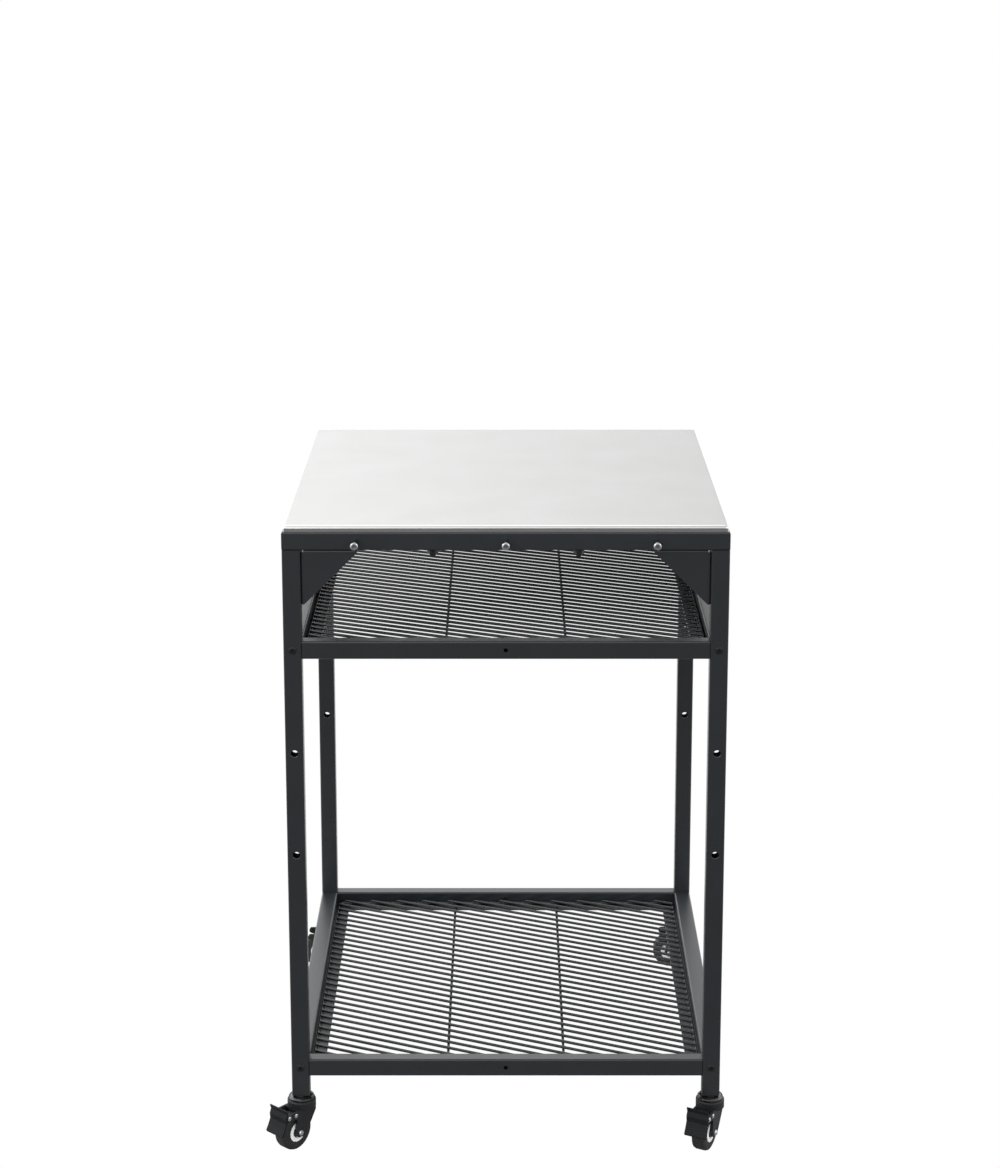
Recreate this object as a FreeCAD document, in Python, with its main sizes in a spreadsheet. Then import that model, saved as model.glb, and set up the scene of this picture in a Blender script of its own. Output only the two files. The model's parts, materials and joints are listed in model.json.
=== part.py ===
import FreeCAD, Part
import math
import os
import re
import Sketcher

# Outdoor pizza oven table, in millimetres. X runs to the right, Y to the back, Z up.
# The origin lies on the floor, midway between the four casters.

SIZES = {
    # Whole table
    "table_width": 600,
    "table_depth": 600,
    "table_height": 902,
    "play": 0.05,
    # Steel tubes of the frame; legs and front and rear rails are flat from front to back
    "tube_side": 25,
    "tube_depth": 20,
    "tube_wall": 1.5,
    "tube_corner": 2.5,
    "upper_shelf_drop": 173,
    "lower_shelf_rise": 40.5,
    # Folded stainless top
    "top_sheet": 1.2,
    "top_lip": 8.5,
    "top_inset": 1.5,
    "top_corner": 6,
    "top_bend": 4.2,
    "top_return": 3.5,
    "stud_spread": 196,
    "stud_diameter": 8,
    "stud_reach": 10,
    # Flange nuts under the top rails
    "nut_flange": 16.5,
    "nut_flange_height": 1.8,
    "nut_hex": 13,
    "nut_height": 6.5,
    # Bolts and spare holes of the legs
    "bolt_diameter": 6,
    "bolt_head": 10.8,
    "bolt_head_height": 1.8,
    "bolt_socket": 4,
    "socket_depth": 2,
    "bolt_hole": 6.6,
    "spare_hole": 10,
    "spare_hole_bevel": 0.5,
    "hole_pitch": 147,
    "insert_length": 20,
    # Shelf: ledge, wire grid and the small hole in its rails
    "ledge_width": 20,
    "ledge_sheet": 3,
    "ledge_rise": 2.5,
    "rail_hole": 6,
    "grid_play": 1.5,
    "border_wire": 5,
    "border_bend": 8,
    "grid_wire": 4.2,
    "grid_rod": 4,
    "grid_weld": 0.4,
    "grid_pitch": 16.7,
    "grid_angle": 23.5,
    "rod_spread": 164,
    # Corner gussets
    "gusset_size": 76,
    "gusset_tip": 4,
    "gusset_sheet": 2,
    "gusset_flange": 16,
    "gusset_bend": 3.2,
    "gusset_setback": 3,
    "gusset_relief": 0.4,
    "screw_near": 26,
    "screw_far": 58,
    "screw_depth": 9,
    "screw_diameter": 4,
    "screw_head": 7.5,
    "screw_head_height": 2.2,
    "screw_bite": 5,
    # Utensil pegs on the front
    "hook_spacing": 201,
    "hook_reach": 28,
    "hook_stem": 7,
    "hook_thread": 6,
    "hook_head": 10.5,
    "hook_head_height": 4,
    "hook_socket": 5,
    "hook_socket_depth": 4,
    "hook_bite": 7,
    # Casters; only the front pair has brake levers
    "caster_height": 78,
    "foot_flange": 2,
    "foot_plug": 25,
    "stem_diameter": 10,
    "stem_length": 22,
    "stem_hex": 17,
    "stem_hex_height": 2,
    "race_diameter": 36,
    "race_height": 4.5,
    "race_rim": 2.4,
    "race_step": 0.8,
    "race_play": 0.3,
    "crown_diameter": 40,
    "crown_height": 12.5,
    "crown_round": 2.6,
    "rivet_diameter": 16,
    "rivet_height": 2.7,
    "wheel_diameter": 54,
    "wheel_width": 20,
    "wheel_round": 4,
    "hub_diameter": 29,
    "hub_rim": 6,
    "hub_recess": 2,
    "hub_boss": 12,
    "hub_play": 0.5,
    "caster_trail": 18,
    "fork_gap": 24,
    "fork_plate": 3,
    "fork_front": 13,
    "fork_shoulder": 4.7,
    "arm_lead": 15,
    "arm_back": 6.5,
    "arm_foot": 6.8,
    "arm_round": 4,
    "axle_diameter": 6,
    "axle_head": 8,
    "axle_head_height": 3.5,
    "pin_back": 20.5,
    "pin_rise": 29.2,
    "pin_diameter": 4,
    "pin_head": 6.4,
    "pin_head_height": 1.5,
    "plain_ear_back": 14.5,
    "plain_ear_rise": 28,
    "ear_radius": 4.5,
    "stop_back": 7.7,
    "stop_rise": 28.7,
    "pedal_width": 32,
    "pedal_sheet": 2.8,
    "pedal_boss": 9,
    "pedal_play": 0.4,
    "pedal_tip_out": 8,
    "pedal_tip_up": 14.3,
    "pedal_belly": 8.5,
    "pedal_wave": 2,
    "pedal_lip_out": 16,
    "pedal_lip_down": 21,
    "shoe_width": 19,
    "shoe_out": 8,
    "shoe_down": 17.5,
    "yaw_front_left": 229,
    "yaw_front_right": 243,
    "yaw_rear_left": 180,
    "yaw_rear_right": 178,
}

doc = FreeCAD.newDocument("OvenTable")
sheet = doc.addObject("Spreadsheet::Sheet", "Sizes")
for row, (alias, number) in enumerate(SIZES.items(), start=1):
    sheet.set(f"A{row}", alias)
    sheet.set(f"B{row}", str(number))
    sheet.setAlias(f"B{row}", alias)
doc.recompute()

X_AXIS = FreeCAD.Vector(1, 0, 0)
Y_AXIS = FreeCAD.Vector(0, 1, 0)
Z_AXIS = FreeCAD.Vector(0, 0, 1)

# Places that follow from the sizes
HALF_TUBE = "tube_side / 2"
HALF_DEPTH = "tube_depth / 2"
FRAME_TOP = "(table_height - top_lip)"
LEG_TOP = "(table_height - top_lip - tube_side)"
INNER_WIDTH = "(table_width - 2 * tube_side)"
INNER_DEPTH = "(table_depth - 2 * tube_depth)"
LEG_X = "(table_width / 2 - tube_side / 2)"
LEG_Y = "(table_depth / 2 - tube_depth / 2)"
GUSSET_LINE = "(gusset_setback + screw_depth - tube_depth / 2)"

nodes = {}


# Helpers

def formula(text):
    """The text with every size written as the sheet's cell."""
    def cell(word):
        return "Sizes." + word.group() if word.group() in SIZES else word.group()
    return re.sub(r"[a-z]\w*", cell, text)


def value(text):
    return float(sheet.evalExpression(formula(text)))


def bind(item, name, text):
    item.setExpression(name, formula(text))


def place(item, x="0", y="0", z="0", turn=None):
    """Puts an object at a point given by formulas, turned first if asked."""
    item.Placement = FreeCAD.Placement(FreeCAD.Vector(), turn or FreeCAD.Rotation())
    for axis, text in zip("xyz", (x, y, z)):
        bind(item, f".Placement.Base.{axis}", text)
    return item


def keep(item, label):
    """Names a finished sub-part."""
    item.Label = label
    nodes[label] = item
    return item


def new_body(name):
    return doc.addObject("PartDesign::Body", name)


def new_sketch(body, role, offset=None):
    drawing = body.newObject("Sketcher::SketchObject", body.Name + "_sketch")
    plane = next(item for item in body.Origin.OriginFeatures if item.Role == role)
    drawing.AttachmentSupport = (plane, [""])
    drawing.MapMode = "FlatFace"
    if offset:
        bind(drawing, ".AttachmentOffset.Base.z", offset)
    return drawing


def fix_point(drawing, element, point, x, y):
    """Holds a sketch point at the distances x and y from the sketch's origin."""
    for kind, text in (("DistanceX", x), ("DistanceY", y)):
        index = drawing.addConstraint(Sketcher.Constraint(kind, -1, 1, element, point, value(text)))
        bind(drawing, f"Constraints[{index}]", text)


def add_polygon(drawing, corners):
    first = drawing.GeometryCount
    count = len(corners)
    points = [FreeCAD.Vector(value(x), value(y), 0) for x, y in corners]
    for n in range(count):
        drawing.addGeometry(Part.LineSegment(points[n], points[(n + 1) % count]))
    for n in range(count):
        joint = Sketcher.Constraint("Coincident", first + n, 2, first + (n + 1) % count, 1)
        drawing.addConstraint(joint)
    for n, (x, y) in enumerate(corners):
        fix_point(drawing, first + n, 1, x, y)


def add_box(drawing, x_low, x_high, y_low, y_high):
    add_polygon(drawing, [(x_low, y_low), (x_high, y_low), (x_high, y_high), (x_low, y_high)])


def add_rectangle(drawing, half_x, half_y):
    add_box(drawing, f"-({half_x})", half_x, f"-({half_y})", half_y)


def add_circle(drawing, x, y, diameter):
    centre = FreeCAD.Vector(value(x), value(y), 0)
    element = drawing.addGeometry(Part.Circle(centre, Z_AXIS, value(diameter) / 2))
    fix_point(drawing, element, 3, x, y)
    index = drawing.addConstraint(Sketcher.Constraint("Diameter", element, value(diameter)))
    bind(drawing, f"Constraints[{index}]", diameter)


def extrude(body, kind, drawing, length, both_ways=False, reverse=False):
    feature = body.newObject("PartDesign::" + kind, f"{body.Name}_{kind.lower()}")
    feature.Profile = drawing
    bind(feature, "Length", length)
    feature.SideType = "Symmetric" if both_ways else "One side"
    feature.Reversed = reverse
    return feature


def pad(body, drawing, length, both_ways=False, reverse=False):
    return extrude(body, "Pad", drawing, length, both_ways, reverse)


def pocket(body, drawing, length, both_ways=False, reverse=False):
    doc.recompute()
    before = body.Tip.Shape.Volume
    feature = extrude(body, "Pocket", drawing, length, both_ways, reverse)
    doc.recompute()
    if feature.Shape.Volume > before - 0.01:
        raise RuntimeError(f"{feature.Name} cuts nothing")
    return feature


def dress(body, kind, size, test):
    """A fillet or chamfer on the edges of the body's last feature that pass the test."""
    doc.recompute()
    base = body.Tip
    names = [f"Edge{n}" for n, edge in enumerate(base.Shape.Edges, start=1) if test(edge)]
    feature = body.newObject("PartDesign::" + kind, f"{body.Name}_{kind.lower()}")
    feature.Base = (base, names)
    bind(feature, "Radius" if kind == "Fillet" else "Size", size)
    return feature


def runs_along(edge, axis):
    """True for a straight edge parallel to the axis."""
    if not isinstance(edge.Curve, (Part.Line, Part.LineSegment)):
        return False
    return abs(edge.tangentAt(edge.FirstParameter).dot(axis)) > 0.999


def revolve(body, drawing):
    feature = body.newObject("PartDesign::Revolution", body.Name + "_turned")
    feature.Profile = drawing
    feature.ReferenceAxis = (drawing, ["V_Axis"])
    feature.Angle = 360
    return feature


def turned(name, profile):
    """A piece turned about its own Z axis; the profile's points are radius and height."""
    body = new_body(name)
    drawing = new_sketch(body, "XZ_Plane")
    add_polygon(drawing, profile)
    revolve(body, drawing)
    return body


def hex_prism(name, across_flats, height, z):
    """A hexagonal prism standing on the height z of its own Z axis."""
    prism = doc.addObject("Part::Prism", name)
    prism.Polygon = 6
    bind(prism, "Circumradius", f"{across_flats} / sqrt(3)")
    bind(prism, "Height", height)
    return place(prism, z=z)


def cut(name, base, tool):
    result = doc.addObject("Part::Cut", name)
    result.Base = base
    result.Tool = tool
    return result


def fuse(name, pieces):
    result = doc.addObject("Part::MultiFuse", name)
    result.Shapes = pieces
    return result


def group(label, pieces):
    """Like pieces kept as separate solids under one name."""
    result = doc.addObject("Part::Compound", label)
    result.Links = pieces
    return keep(result, label)


def box(name, length, width, height, x, y, z):
    """A box by its sizes and its lowest corner."""
    block = doc.addObject("Part::Box", name)
    bind(block, "Length", length)
    bind(block, "Width", width)
    bind(block, "Height", height)
    return place(block, x, y, z)


# Tubes

TUBE_PLANES = {"X": "YZ_Plane", "Y": "XZ_Plane", "Z": "XY_Plane"}
TUBE_AXES = {"X": X_AXIS, "Y": Y_AXIS, "Z": Z_AXIS}
TUBE_HALVES = {"X": (HALF_DEPTH, HALF_TUBE), "Y": (HALF_TUBE, HALF_TUBE), "Z": (HALF_TUBE, HALF_DEPTH)}


def tube(name, run, length):
    """A tube with rounded corners, centred on its own origin along X, Y or Z."""
    body = new_body(name)
    half_x, half_y = TUBE_HALVES[run]
    drawing = new_sketch(body, TUBE_PLANES[run])
    add_rectangle(drawing, half_x, half_y)
    add_rectangle(drawing, f"{half_x} - tube_wall", f"{half_y} - tube_wall")
    pad(body, drawing, length, both_ways=True)
    axis = TUBE_AXES[run]
    outer_corner = math.hypot(value(half_x), value(half_y))
    inner_corner = math.hypot(value(f"{half_x} - tube_wall"), value(f"{half_y} - tube_wall"))

    def lies_off(edge, distance):
        middle = edge.CenterOfMass
        off_axis = (middle - axis * middle.dot(axis)).Length
        return runs_along(edge, axis) and abs(off_axis - distance) < 0.01

    dress(body, "Fillet", "tube_corner - tube_wall", lambda edge: lies_off(edge, inner_corner))
    dress(body, "Fillet", "tube_corner", lambda edge: lies_off(edge, outer_corner))
    return body


def drill(body, role, holes, diameter, depth=None, reverse=False):
    """Round holes square to a plane through the tube's middle; through both walls without a depth."""
    drawing = new_sketch(body, role)
    for x, y in holes:
        add_circle(drawing, x, y, diameter)
    length = depth or "2 * tube_side"
    return pocket(body, drawing, length, both_ways=depth is None, reverse=reverse)


def mitre(body, run, outer_side, length):
    """Cuts both ends of a top rail aslant; outer_side is the sign of its long edge."""
    half, other_width = (HALF_DEPTH, "tube_side") if run == "X" else (HALF_TUBE, "tube_depth")
    drawing = new_sketch(body, "XY_Plane")
    outer = f"{outer_side} * {half}"
    inner = f"-({outer})"
    for end in (1, -1):
        tip = (f"{end} * {length} / 2", outer)
        corner = (f"{end} * {length} / 2", inner)
        root = (f"{end} * ({length} / 2 - {other_width})", inner)
        triangle = [tip, corner, root]
        if run == "Y":
            triangle = [(y, x) for x, y in triangle]
        add_polygon(drawing, triangle)
    pocket(body, drawing, "2 * tube_side", both_ways=True)


# Folded stainless top: a shallow pan, open below, with a narrow return along its lip

def round_edges(name, base, radius, test):
    """The base with the edges that pass the test rounded."""
    doc.recompute()
    result = doc.addObject("Part::Fillet", name)
    result.Base = base
    size = value(radius)
    result.Edges = [(n, size, size) for n, edge in enumerate(base.Shape.Edges, start=1) if test(edge)]
    return result


def pan_block(name, inset, bottom, top):
    """A block with the pan's rounded corners and upper rim, smaller all round by the inset."""
    half_width = f"(table_width / 2 - top_inset - {inset})"
    half_depth = f"(table_depth / 2 - top_inset - {inset})"
    block = box(f"{name}_block", f"2 * {half_width}", f"2 * {half_depth}", f"{top} - {bottom}",
                f"-{half_width}", f"-{half_depth}", bottom)
    sides = round_edges(f"{name}_sides", block, f"top_corner - {inset}",
                        lambda edge: runs_along(edge, Z_AXIS))
    ceiling = value(top)
    return round_edges(name, sides, f"top_bend - {inset}",
                       lambda edge: edge.BoundBox.ZMin > ceiling - 0.01)


def make_top():
    outside = pan_block("pan_outside", "0", "0", "top_lip")
    inside = pan_block("pan_inside", "top_sheet", "top_sheet", "(top_lip - top_sheet)")
    half_width = "(table_width / 2 - top_inset - top_return)"
    half_depth = "(table_depth / 2 - top_inset - top_return)"
    mouth = box("pan_mouth", f"2 * {half_width}", f"2 * {half_depth}", "top_lip / 2",
                f"-{half_width}", f"-{half_depth}", "-top_sheet")
    pan = cut("top_plate", cut("pan_shell", outside, inside), mouth)
    keep(place(pan, z=FRAME_TOP), "top_plate")


# Top frame: four mitred rails that carry the top and the pegs

def make_top_frame():
    studs = [("stud_spread / 2", "0"), ("-stud_spread / 2", "0")]
    pegs = [(f"{n} * hook_spacing", "0") for n in (-1, 0, 1)]
    stud_hole = "stud_diameter + 12 * play"
    for side, sign in (("front", -1), ("rear", 1)):
        rail = tube(f"top_rail_{side}", "X", "table_width")
        mitre(rail, "X", sign, "table_width")
        drill(rail, "XY_Plane", studs, stud_hole)
        if side == "front":
            drill(rail, "XZ_Plane", pegs, "hook_thread + 2 * play", "tube_side", reverse=True)
        screws = []
        for distance in ("screw_near", "screw_far"):
            for end in (-1, 1):
                screws.append((f"{end} * ({INNER_WIDTH} / 2 - {distance})", f"{-sign} * {GUSSET_LINE}"))
        drill(rail, "XY_Plane", screws, "screw_diameter + 2 * play", "tube_side")
        keep(place(rail, y=f"{sign} * {LEG_Y}", z=f"{FRAME_TOP} - {HALF_TUBE}"), rail.Name)
    for side, sign in (("left", -1), ("right", 1)):
        rail = tube(f"top_rail_{side}", "Y", "table_depth")
        mitre(rail, "Y", sign, "table_depth")
        keep(place(rail, x=f"{sign} * {LEG_X}", z=f"{FRAME_TOP} - {HALF_TUBE}"), rail.Name)


# Legs: holes for both shelves and two spare pairs between them

CORNERS = [("front", "left", -1, -1), ("front", "right", 1, -1),
           ("rear", "left", -1, 1), ("rear", "right", 1, 1)]
LEG_MIDDLE = f"(({LEG_TOP} + caster_height) / 2)"
SHELF_HEIGHTS = {"upper": "(table_height - upper_shelf_drop)", "lower": "(caster_height + lower_shelf_rise)"}


def make_legs():
    bolt_holes = [("0", f"{height} - {LEG_MIDDLE}") for height in SHELF_HEIGHTS.values()]
    spare_holes = [("0", f"{SHELF_HEIGHTS['upper']} - {n} * hole_pitch - {LEG_MIDDLE}") for n in (1, 2)]
    for end, side, x_sign, y_sign in CORNERS:
        leg = tube(f"leg_{end}_{side}", "Z", f"{LEG_TOP} - caster_height")
        drill(leg, "XZ_Plane", spare_holes, "spare_hole")
        face = value(HALF_DEPTH)

        def is_mouth(edge):
            return isinstance(edge.Curve, Part.Circle) and abs(edge.CenterOfMass.y) > face - 0.01

        dress(leg, "Chamfer", "spare_hole_bevel", is_mouth)
        drill(leg, "XZ_Plane", bolt_holes, "bolt_hole")
        screws = []
        for distance in ("screw_near", "screw_far"):
            screws.append((f"{-y_sign} * {GUSSET_LINE}", f"{LEG_TOP} - {distance} - {LEG_MIDDLE}"))
        drill(leg, "YZ_Plane", screws, "screw_diameter + 2 * play", "tube_side", reverse=x_sign < 0)
        keep(place(leg, f"{x_sign} * {LEG_X}", f"{y_sign} * {LEG_Y}", LEG_MIDDLE), leg.Name)


# Shelves: four rails between the legs, a ledge inside them and a wire grid on the ledge

def make_shelf_rails(shelf, height):
    for side, sign in (("front", -1), ("rear", 1)):
        rail = tube(f"{shelf}_rail_{side}", "X", INNER_WIDTH)
        drill(rail, "XZ_Plane", [("0", "0")], "rail_hole")
        keep(place(rail, y=f"{sign} * {LEG_Y}", z=height), rail.Name)
    for side, sign in (("left", -1), ("right", 1)):
        rail = tube(f"{shelf}_rail_{side}", "Y", INNER_DEPTH)
        keep(place(rail, x=f"{sign} * {LEG_X}", z=height), rail.Name)


def ledge_bottom(height):
    return f"({height} - {HALF_TUBE} + ledge_rise)"


def make_ledge(shelf, height):
    strips = []
    side_depth = f"{INNER_DEPTH} - 2 * ledge_width"
    bottom = ledge_bottom(height)
    for side, y in (("front", f"-{INNER_DEPTH} / 2"), ("rear", f"{INNER_DEPTH} / 2 - ledge_width")):
        strips.append(box(f"{shelf}_ledge_{side}", INNER_WIDTH, "ledge_width", "ledge_sheet",
                          f"-{INNER_WIDTH} / 2", y, bottom))
    for side, x in (("left", f"-{INNER_WIDTH} / 2"), ("right", f"{INNER_WIDTH} / 2 - ledge_width")):
        strips.append(box(f"{shelf}_ledge_{side}", "ledge_width", side_depth, "ledge_sheet",
                          x, f"-({side_depth}) / 2", bottom))
    group(f"{shelf}_ledge", strips)


def bar(name, diameter, length, x, y, z, turn):
    """A round wire that starts at x, y, z and runs along its own Z axis."""
    wire = doc.addObject("Part::Cylinder", name)
    bind(wire, "Radius", f"{diameter} / 2")
    bind(wire, "Height", length)
    return place(wire, x, y, z, turn)


def make_border(shelf, half_x, half_y, z):
    """The grid's rim: four straight wires and four bends."""
    along_x = FreeCAD.Rotation(Y_AXIS, 90)
    along_y = FreeCAD.Rotation(X_AXIS, -90)
    pieces = []
    for sign in (-1, 1):
        pieces.append(bar(f"{shelf}_rim_x", "border_wire", f"2 * ({half_x} - border_bend)",
                          f"-({half_x} - border_bend)", f"{sign} * {half_y}", z, along_x))
        pieces.append(bar(f"{shelf}_rim_y", "border_wire", f"2 * ({half_y} - border_bend)",
                          f"{sign} * {half_x}", f"-({half_y} - border_bend)", z, along_y))
    for quarter, (x_sign, y_sign) in enumerate(((1, 1), (-1, 1), (-1, -1), (1, -1))):
        bend = doc.addObject("Part::Torus", f"{shelf}_rim_bend")
        bind(bend, "Radius1", "border_bend")
        bind(bend, "Radius2", "border_wire / 2")
        bend.Angle3 = 90
        place(bend, f"{x_sign} * ({half_x} - border_bend)", f"{y_sign} * ({half_y} - border_bend)", z,
              FreeCAD.Rotation(Z_AXIS, 90 * quarter))
        pieces.append(bend)
    return pieces


def make_grid(shelf, height):
    """Slanting wires welded over two rods and the rim, all in one piece."""
    half_x = f"({INNER_WIDTH} / 2 - grid_play - border_wire / 2)"
    half_y = f"({INNER_DEPTH} / 2 - grid_play - border_wire / 2)"
    seat = f"({ledge_bottom(height)} + ledge_sheet)"
    pieces = make_border(shelf, half_x, half_y, f"{seat} + border_wire / 2")
    for sign in (-1, 1):
        pieces.append(bar(f"{shelf}_rod", "grid_rod", f"2 * {half_y}", f"{sign} * rod_spread / 2",
                          f"-{half_y}", f"{seat} + border_wire / 2", FreeCAD.Rotation(X_AXIS, -90)))
    wire_height = f"{seat} + (border_wire + grid_rod + grid_wire) / 2 - grid_weld"
    reach = f"({half_x} + {half_y})"
    slant = value("grid_angle")
    turn = FreeCAD.Rotation(Z_AXIS, -slant) * FreeCAD.Rotation(Y_AXIS, 90)
    across = f"({half_x} * sin(grid_angle) + {half_y} * cos(grid_angle))"
    count = math.floor(value(f"({across} - border_bend) / grid_pitch"))
    wires = []
    for n in range(-count, count + 1):
        x = f"{n} * grid_pitch * sin(grid_angle) - {reach} * cos(grid_angle)"
        y = f"{n} * grid_pitch * cos(grid_angle) + {reach} * sin(grid_angle)"
        wires.append(bar(f"{shelf}_wire", "grid_wire", f"2 * {reach}", x, y, wire_height, turn))
    bundle = doc.addObject("Part::Compound", f"{shelf}_wires")
    bundle.Links = wires
    frame = box(f"{shelf}_wire_field", f"2 * {half_x}", f"2 * {half_y}", "2 * grid_wire",
                f"-{half_x}", f"-{half_y}", f"{wire_height} - grid_wire")
    field = round_edges(f"{shelf}_wire_field_round", frame, "border_bend",
                        lambda edge: runs_along(edge, Z_AXIS))
    trimmed = doc.addObject("Part::Common", f"{shelf}_wires_trimmed")
    trimmed.Base = bundle
    trimmed.Tool = field
    rim = fuse(f"{shelf}_rim", pieces)
    grid = fuse(f"{shelf}_grid", [rim, trimmed])
    grid.Refine = False
    keep(grid, f"{shelf}_grid")


# Corner gussets: bent plates behind the front face, screwed to leg and rail

GUSSET_TURNS = {
    ("front", "left"): FreeCAD.Rotation(),
    ("front", "right"): FreeCAD.Rotation(Y_AXIS, 90),
    ("rear", "left"): FreeCAD.Rotation(Z_AXIS, 180) * FreeCAD.Rotation(Y_AXIS, 90),
    ("rear", "right"): FreeCAD.Rotation(Z_AXIS, 180),
}


def make_gusset(end, side, x_sign, y_sign):
    """Drawn with its corner at the origin, one arm along +X, the other along -Z."""
    body = new_body(f"gusset_{end}_{side}")
    outline = new_sketch(body, "XZ_Plane")
    notch = "(gusset_bend + gusset_relief)"
    add_polygon(outline, [(notch, "0"), ("gusset_size", "0"), ("gusset_size", "-gusset_tip"),
                          ("gusset_tip", "-gusset_size"), ("0", "-gusset_size"), ("0", f"-{notch}"),
                          (notch, f"-{notch}")])
    pad(body, outline, "gusset_flange", reverse=True)

    def is_front_bend(edge):
        middle = edge.CenterOfMass
        on_arm = abs(middle.z) < 0.01 or abs(middle.x) < 0.01
        return abs(middle.y) < 0.01 and on_arm and edge.Length > value("gusset_size") / 2

    dress(body, "Fillet", "gusset_bend", is_front_bend)
    inside = new_sketch(body, "XZ_Plane", "-gusset_sheet")
    add_box(inside, "gusset_sheet", "2 * gusset_size", "-2 * gusset_size", "-gusset_sheet")
    pocket(body, inside, "gusset_flange")
    rows = [("screw_near", "screw_depth"), ("screw_far", "screw_depth")]
    flange_cut = "2 * gusset_sheet + 1"
    rail_holes = new_sketch(body, "XY_Plane")
    leg_holes = new_sketch(body, "YZ_Plane")
    for along, depth in rows:
        add_circle(rail_holes, along, depth, "screw_diameter + 4 * play")
        add_circle(leg_holes, depth, f"-{along}", "screw_diameter + 4 * play")
    pocket(body, rail_holes, flange_cut, both_ways=True)
    pocket(body, leg_holes, flange_cut, both_ways=True)
    place(body, f"{x_sign} * {INNER_WIDTH} / 2", f"{y_sign} * (table_depth / 2 - gusset_setback)", LEG_TOP,
          GUSSET_TURNS[(end, side)])
    keep(body, body.Name)


def make_gusset_screws():
    screws = []
    profile = [("0", "-screw_bite"), ("screw_diameter / 2", "-screw_bite"), ("screw_diameter / 2", "0"),
               ("screw_head / 2", "0"), ("screw_head / 2", "screw_head_height / 2"),
               ("screw_head / 4", "screw_head_height"), ("0", "screw_head_height")]
    for end, side, x_sign, y_sign in CORNERS:
        y = f"{y_sign} * (table_depth / 2 - gusset_setback - screw_depth)"
        for distance in ("screw_near", "screw_far"):
            rail_x = f"{x_sign} * ({INNER_WIDTH} / 2 - {distance})"
            up = turned(f"screw_{end}_{side}_rail", profile)
            screws.append(place(up, rail_x, y, f"{LEG_TOP} - gusset_sheet", FreeCAD.Rotation(X_AXIS, 180)))
            leg_x = f"{x_sign} * ({INNER_WIDTH} / 2 - gusset_sheet)"
            out = turned(f"screw_{end}_{side}_leg", profile)
            turn = FreeCAD.Rotation(Y_AXIS, -90 * x_sign)
            screws.append(place(out, leg_x, y, f"{LEG_TOP} - {distance}", turn))
    group("gusset_screws", screws)


# Fasteners

def socket_screw(name, profile, top, socket, depth):
    """A turned piece with a hexagon socket sunk from its top."""
    blank = turned(f"{name}_blank", profile)
    key = hex_prism(f"{name}_socket", socket, f"{depth} + 1", f"{top} - {depth}")
    return cut(name, blank, key)


def facing(y_sign):
    """Turns a piece's own Z axis to the front or to the back."""
    return FreeCAD.Rotation(X_AXIS, -90 * y_sign)


def make_shelf_bolts():
    bolts = []
    inserts = []
    head, radius, height = "bolt_head / 2", "bolt_diameter / 2", "bolt_head_height"
    length = "(tube_depth + insert_length)"
    profile = [("0", f"-{length}"), (radius, f"-{length}"), (radius, "0"), (head, "0"),
               (head, f"{height} * 0.3"), (f"{head} * 0.85", f"{height} * 0.75"),
               (f"{head} * 0.6", height), ("0", height)]
    for end, side, x_sign, y_sign in CORNERS:
        x = f"{x_sign} * {LEG_X}"
        for shelf, z in SHELF_HEIGHTS.items():
            bolt = socket_screw(f"bolt_{shelf}_{end}_{side}", profile, height, "bolt_socket", "socket_depth")
            bolts.append(place(bolt, x, f"{y_sign} * table_depth / 2", z, facing(y_sign)))
            inserts.append(make_insert(f"insert_{shelf}_{end}_{side}", x, y_sign, z))
    group("shelf_bolts", bolts)
    group("rail_end_inserts", inserts)


def make_insert(name, x, y_sign, z):
    """A plug in the end of a side rail that takes the shelf bolt."""
    body = new_body(name)
    drawing = new_sketch(body, "XZ_Plane")
    half = f"{HALF_TUBE} - tube_wall - play"
    add_rectangle(drawing, half, half)
    add_circle(drawing, "0", "0", "bolt_diameter + 2 * play")
    pad(body, drawing, "insert_length", both_ways=True)
    bolt_side = value("bolt_diameter")
    dress(body, "Fillet", "tube_corner - tube_wall",
          lambda edge: runs_along(edge, Y_AXIS) and abs(edge.CenterOfMass.x) > bolt_side)
    return place(body, x, f"{y_sign} * ({INNER_DEPTH} / 2 - insert_length / 2)", z)


def make_tool_hooks():
    """Pegs with round heads that stand out of the front rail."""
    hooks = []
    reach, head = "hook_reach", "hook_head / 2"
    neck = "(hook_reach - hook_head_height)"
    profile = [("0", "-hook_bite"), ("hook_thread / 2", "-hook_bite"), ("hook_thread / 2", "0"),
               ("hook_stem / 2", "0"), ("hook_stem / 2", neck), (head, f"{neck} + 0.5"),
               (head, f"{reach} - 1.2"), (f"{head} - 1.2", reach), ("0", reach)]
    for n in (-1, 0, 1):
        hook = socket_screw("hook", profile, reach, "hook_socket", "hook_socket_depth")
        hooks.append(place(hook, f"{n} * hook_spacing", "-table_depth / 2", f"{FRAME_TOP} - {HALF_TUBE}",
                           facing(-1)))
    group("tool_hooks", hooks)


def make_studs_and_nuts():
    studs = []
    nuts = []
    radius, head = "stud_diameter / 2", "(top_lip - top_sheet)"
    tail = "(-tube_side - stud_reach)"
    profile = [("0", tail), (radius, tail), (radius, head), ("0", head)]
    for y_sign in (-1, 1):
        for x_sign in (-1, 1):
            x = f"{x_sign} * stud_spread / 2"
            y = f"{y_sign} * {LEG_Y}"
            studs.append(place(turned("stud", profile), x, y, FRAME_TOP))
            nuts.append(place(flange_nut("nut"), x, y, LEG_TOP))
    group("plate_studs", studs)
    group("plate_nuts", nuts)


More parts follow.
